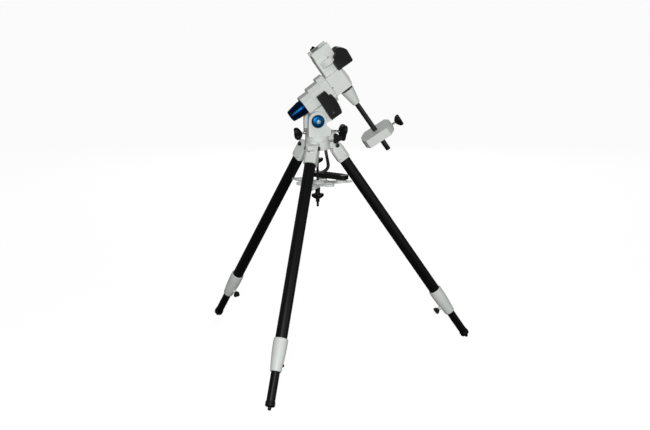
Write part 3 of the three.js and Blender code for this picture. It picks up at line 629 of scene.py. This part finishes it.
def make_tripod():
    refined("hub_casting", "tripod_hub", UPRIGHT, CASTING, "root", 1.0)
    rod = threaded_rod(5, 607, 889, 1.75)
    add("mounting_bolt", rod, UPRIGHT, DARK_STEEL, "mount_bolt", "centre_rod")
    grip = knob_head(23, 18, 4, 5)
    add("mounting_bolt_knob", grip, shifted(UPRIGHT, z=785), PLASTIC, "mount_bolt", "rod_knob")
    refined("tray_plate", "accessory_tray", UPRIGHT, CASTING, "tray", 0.8)
    sleeve = lathe([
        (5.3, 626), (7.2, 626), (8, 627), (8, 640), (12, 642), (12, 657), (10.2, 659), (9.6, 668),
        (10.4, 678), (10.4, 697.6), (5.3, 697.6),
    ], 64, 0.8, closed=True)
    wings = moved(knob_head(25, 19, 4, 6), Matrix.Translation((0, 0, 640)))
    add("tray_nut", merged(sleeve, wings), UPRIGHT, PLASTIC, "tray_knob", "tray_knob")
    ferrule = lathe([(5.3, 697.7), (12.4, 697.7), (12.4, 698.7), (5.3, 698.7)], 48, 0.2, closed=True)
    add("tray_nut_washer", ferrule, UPRIGHT, BRIGHT, "tray_knob")
    for name in LEGS:
        make_leg(name)


# Azimuth base, and its adjusting screws

def star(reach, waist, points):
    """A low faceted star, set in the middle of a turned cap."""
    rim = []
    for i in range(2 * points):
        radius = reach if i % 2 == 0 else waist
        rim.append((radius * cos(pi * i / points), radius * sin(pi * i / points)))
    rings = [[(x, y, z) for x, y in rim] for z in (-0.6, 0.3)]
    return loft([[(0, 0, -0.6)]] + rings + [[(0, 0, 1.5)]])


def make_base():
    refined("fork_casting", "azimuth_base", UPRIGHT, CASTING, "azimuth", 1.0)
    for side, word in ((-1, "near"), (1, "far")):
        turn = near_side if side < 0 else far_side
        screw = turn(UPRIGHT, AZIMUTH_SCREW_X, side * AZIMUTH_SCREW_Y, AZIMUTH_SCREW_HEIGHT)
        grip, body = f"azimuth_knob_{word}_grip", f"azimuth_screw_{word}"
        hand_screw(grip, f"azimuth_knob_{word}", screw, body, 4, 34.2, 22, 19.5, neck=1.2)
        dome = lathe([
            (0, 0), (25.5, 0), (25.5, 7.6), (24.9, 9.0), (22.5, 11.6), (17.5, 13.6), (11, 14.7), (0, 15.2),
        ], 96, 1.2)
        cap = turn(UPRIGHT, ALTITUDE_X, side * ALTITUDE_CAP_Y, ALTITUDE_HEIGHT)
        add(f"altitude_cap_{word}_turned", dome, cap, BLUE, "azimuth", f"altitude_cap_{word}")
        # The pale star on the cap is a painted highlight, in low relief.
        add(f"altitude_cap_{word}_star", star(10.5, 5.2, 8), shifted(cap, z=14.6), PAINTED_STAR_HIGHLIGHT, "azimuth")
    axle = lathe([(0, -44.7), (8, -44.7), (8, 44.7), (0, 44.7)], 48, 0.5)
    pin = shifted(UPRIGHT, ALTITUDE_X, 0, ALTITUDE_HEIGHT)
    add("altitude_pin", stood(axle), pin, BRIGHT, "azimuth", "altitude_axle")
    for word, slope, head_start, radius in (
        ("front", 90 + FRONT_SCREW_SLOPE, 92.1, 38),
        ("rear", -90 - REAR_SCREW_SLOPE, 49.1, 28),
    ):
        screw = turned_about(shifted(UPRIGHT, ALTITUDE_X, 0, ALTITUDE_SCREW_HEIGHT), "Y", slope)
        start = shifted(screw, z=ALTITUDE_SCREW_START)
        grip, body = f"altitude_grip_{word}", f"altitude_screw_{word}"
        hand_screw(grip, f"altitude_knob_{word}", start, body, 5, head_start, radius, 24)


# Polar head and declination head

def make_polar_head():
    refined("polar_housing", "ra_housing", HEAD, CASTING, "altitude", 1.2)
    refined("polar_motor_cover", "ra_motor_cover", HEAD, PLASTIC, "altitude", 2.5)
    cap = turned_about(HEAD, "Y", 90)
    shell = lathe([
        (0, -241.8), (15, -241.8), (16, -243), (19.2, -243), (22.4, -241), (23.6, -237), (26.8, -216),
        (30.2, -192.6), (30.5, -190.5), (30.5, -185.6), (29.9, -185), (29.9, -183.6), (30.5, -183),
        (30.5, -179), (29.8, -177.3), (24, -177.3), (18.5, -234), (0, -234),
    ], 96, 0.8)
    # The polar cap takes the darker copy of the blue, which is painted shade.
    add("polar_cap_turned", shell, cap, SHADED_BLUE_ANODISED, "polar_cap", "polar_cap")
    scope = lathe([(0, -212), (15.5, -212), (15.5, -181), (13, -181), (13, -92), (0, -92)], 48, 0.5)
    add("polar_scope_tube", scope, cap, BARE, "ra", "polar_scope")
    profile = [(14, -174), (20, -174), (20, -64), (34, -64), (34, -51.3), (14, -51.3)]
    shaft = lathe(profile, 64, 0.3, closed=True)
    add("polar_shaft", shaft, cap, BARE, "ra", "ra_shaft")
    wheel = lathe([(20.4, -78), (36, -78), (35, -72), (36, -66), (20.4, -66)], 96, 0.3, closed=True)
    add("polar_worm_wheel", wheel, cap, BRASS, "altitude", "ra_worm_wheel")
    add("polar_worm", stood(worm(40)), shifted(HEAD, *POLAR_WORM), BRIGHT, "altitude", "ra_worm")
    refined("polar_clutch_lever", "ra_clutch_lever", HEAD, BARE, "ra_clutch", 1.0)
    socket_screw("polar_cover_screw_low", near_side(HEAD, -103.6, -62, -74.6), "altitude", 3.4, 1.2, BRIGHT)
    socket_screw("polar_cover_screw_high", near_side(HEAD, -116.0, -62, 6.0), "altitude", 2.2, 0.8)
    socket_screw("polar_cover_screw_side", near_side(HEAD, -76.0, -62, -17.0), "altitude", 2.2, 0.8)


def worm(reach):
    profile = [(0, -reach), (3.5, -reach), (3.5, -16)]
    for i in range(10):
        z = 3.2 * i
        profile += [(5.2, z - 15.8), (6.5, z - 14.8), (6.5, z - 14.0), (5.2, z - 13.0)]
    profile += [(5.2, 16), (0, 16)]
    return lathe(profile, 40, 0)


def ring_marks(radius, z, count):
    """Engraved and filled graduation lines round a circle, every third one longer."""
    marks = []
    for i in range(count):
        long = 3.6 if i % 3 == 0 else 2.2
        outline = ((radius, z), (radius + 0.15, z), (radius + 0.15, z + long), (radius, z + long))
        mark = loft([[(x, y, height) for x, height in outline] for y in (-0.2, 0.2)])
        marks.append(moved(mark, Matrix.Rotation(tau * i / count, 4, "Z")))
    return merged(*marks)


def make_declination_head():
    refined("declination_housing", "dec_housing", HEAD, CASTING, "ra", 1.2)
    refined("declination_motor_cover", "dec_motor_cover", HEAD, PLASTIC, "ra", 2.5)
    wheel = lathe([(15.3, 85), (36, 85), (35, 91), (36, 97), (15.3, 97)], 96, 0.3, closed=True)
    add("declination_worm_wheel", wheel, HEAD, BRASS, "ra", "dec_worm_wheel")
    add("declination_worm", stood(worm(25)), shifted(HEAD, *DECLINATION_WORM), BRIGHT, "ra", "dec_worm")
    refined("declination_clutch_lever", "dec_clutch_lever", HEAD, BARE, "dec_clutch", 1.0)
    shaft = lathe([(0, -50.3), (15, -50.3), (15, 136), (0, 136)], 64, 0.5)
    add("declination_shaft", shaft, HEAD, BRIGHT, "dec", "dec_shaft")
    ring = lathe([
        (15.3, -51), (25.4, -51), (26.5, -50.2), (26.5, -40.4), (25.4, -38.4), (15.3, -38.4),
    ], 96, 0.4, closed=True)
    add("declination_circle", ring, HEAD, PLASTIC, "dec", "dec_setting_circle")
    add("declination_circle_marks", ring_marks(26.4, -49.6, 72), HEAD, MARKING, "dec")
    cone = lathe([
        (10.3, -119), (13.8, -119), (15.1, -117.8), (17.6, -104), (25.9, -60), (26.5, -54), (26, -51.3),
        (0, -51.3), (0, -65.3), (10.3, -65.3),
    ], 96, 1.0)
    add("counterweight_cone", cone, HEAD, CASTING, "dec", "shaft_cone")
    rod = [(0, -351), (8.4, -351), (10, -349.6)]
    for i in range(8):
        rod += [(10, -349 + 2.6 * i), (9.2, -348.4 + 2.6 * i), (9.2, -347.6 + 2.6 * i), (10, -347 + 2.6 * i)]
    rod += [(10, -65.6), (0, -65.6)]
    add("counterweight_bar", lathe(rod, 72, 0), HEAD, DARK_STEEL, "dec", "counterweight_rod")
    refined("saddle_casting", "saddle", HEAD, CASTING, "dec", 1.2)
    refined("saddle_clamp", "saddle_jaw", HEAD, BARE, "saddle_jaw", 0.6)
    screw = far_side(HEAD, *SADDLE_SCREW)
    hand_screw("saddle_grip", "saddle_knob", screw, "saddle_knob", 3, 12, 14.5, 15, 5)
    socket_screw("head_screw_boss", near_side(HEAD, 6.2, -36, 107), "ra", 2.8, 1.0)
    socket_screw("head_screw_seam", near_side(HEAD, -47.2, -42, 0.4), "ra", 2.8, 0.8)
    socket_screw("declination_cover_screw", near_side(HEAD, 14, -60, 53.7), "ra", 2.2, 0.8)


def make_counterweight():
    weight = turned_about(HEAD, "Z", COUNTERWEIGHT_TURN)
    refined("counterweight_octagon", "counterweight", weight, IRON, "counterweight", 2.2)
    screw = turned_about(shifted(weight, *COUNTERWEIGHT_SCREW), "Y", 90)
    hand_screw("counterweight_grip", "counterweight_knob", screw, "counterweight_knob", 4, 76, 26, 22)


def make_handset():
    refined("handset_shell", "handset", HANDSET, PLASTIC, "tray", 2.4)
    refined("handset_keys", "handset_keypad", HANDSET, RUBBER, "tray", 0.7)


make_tripod()
make_base()
make_polar_head()
make_declination_head()
make_counterweight()
make_handset()


# Floor, backdrop and studio light

FLOOR_REACH = 40
FLOOR_DROP = 0.0005
FLOOR_BASE = (0.16, 0.16, 0.16, 1)
FLOOR_GLOW = 0.92
WORLD_LIGHT = 0.22
LIGHTS_AIM = (0, 0, 0.8)


def make_floor():
    """A pale floor that glows for the camera, and that lights only itself."""
    material = bpy.data.materials.new("pale floor")
    material.use_nodes = True
    shader = material.node_tree.nodes["Principled BSDF"]
    shader.inputs["Base Color"].default_value = FLOOR_BASE
    shader.inputs["Roughness"].default_value = 0.9
    shader.inputs["Specular IOR Level"].default_value = 0.1
    shader.inputs["Emission Color"].default_value = (1, 1, 1, 1)
    shader.inputs["Emission Strength"].default_value = FLOOR_GLOW
    bm = bmesh.new()
    signs = ((-1, -1), (1, -1), (1, 1), (-1, 1))
    bm.faces.new([bm.verts.new((x * FLOOR_REACH, y * FLOOR_REACH, -FLOOR_DROP)) for x, y in signs])
    mesh = bpy.data.meshes.new("floor")
    bm.to_mesh(mesh)
    bm.free()
    mesh.materials.append(material)
    floor = bpy.data.objects.new("floor", mesh)
    bpy.context.scene.collection.objects.link(floor)
    lit_by_floor = bpy.data.collections.new("lit by the floor")
    lit_by_floor.objects.link(floor)
    floor.light_linking.receiver_collection = lit_by_floor


def area_light(name, place, size, power):
    data = bpy.data.lights.new(name, "AREA")
    data.shape = "DISK"
    data.size = size
    data.energy = power
    light = bpy.data.objects.new(name, data)
    aim = (Vector(LIGHTS_AIM) - Vector(place)).to_track_quat("-Z", "Y")
    light.matrix_world = Matrix.Translation(Vector(place)) @ aim.to_matrix().to_4x4()
    bpy.context.scene.collection.objects.link(light)


def make_world():
    """White to the camera, and much dimmer as a light."""
    world = bpy.data.worlds.new("studio")
    bpy.context.scene.world = world
    world.use_nodes = True
    tree = world.node_tree
    background = tree.nodes["Background"]
    ray = tree.nodes.new("ShaderNodeLightPath")
    mix = tree.nodes.new("ShaderNodeMapRange")
    mix.inputs["To Min"].default_value = WORLD_LIGHT
    mix.inputs["To Max"].default_value = 1.0
    tree.links.new(ray.outputs["Is Camera Ray"], mix.inputs["Value"])
    tree.links.new(mix.outputs["Result"], background.inputs["Strength"])
    background.inputs["Color"].default_value = (1, 1, 1, 1)


make_floor()
make_world()
area_light("key", (-1.4, -4.5, 1.95), 1.3, 150)
area_light("fill", (3.0, -3.4, 1.3), 2.2, 22)
area_light("back", (1.2, 4.2, 1.6), 2.0, 34)
bpy.context.scene.view_settings.view_transform = "Standard"
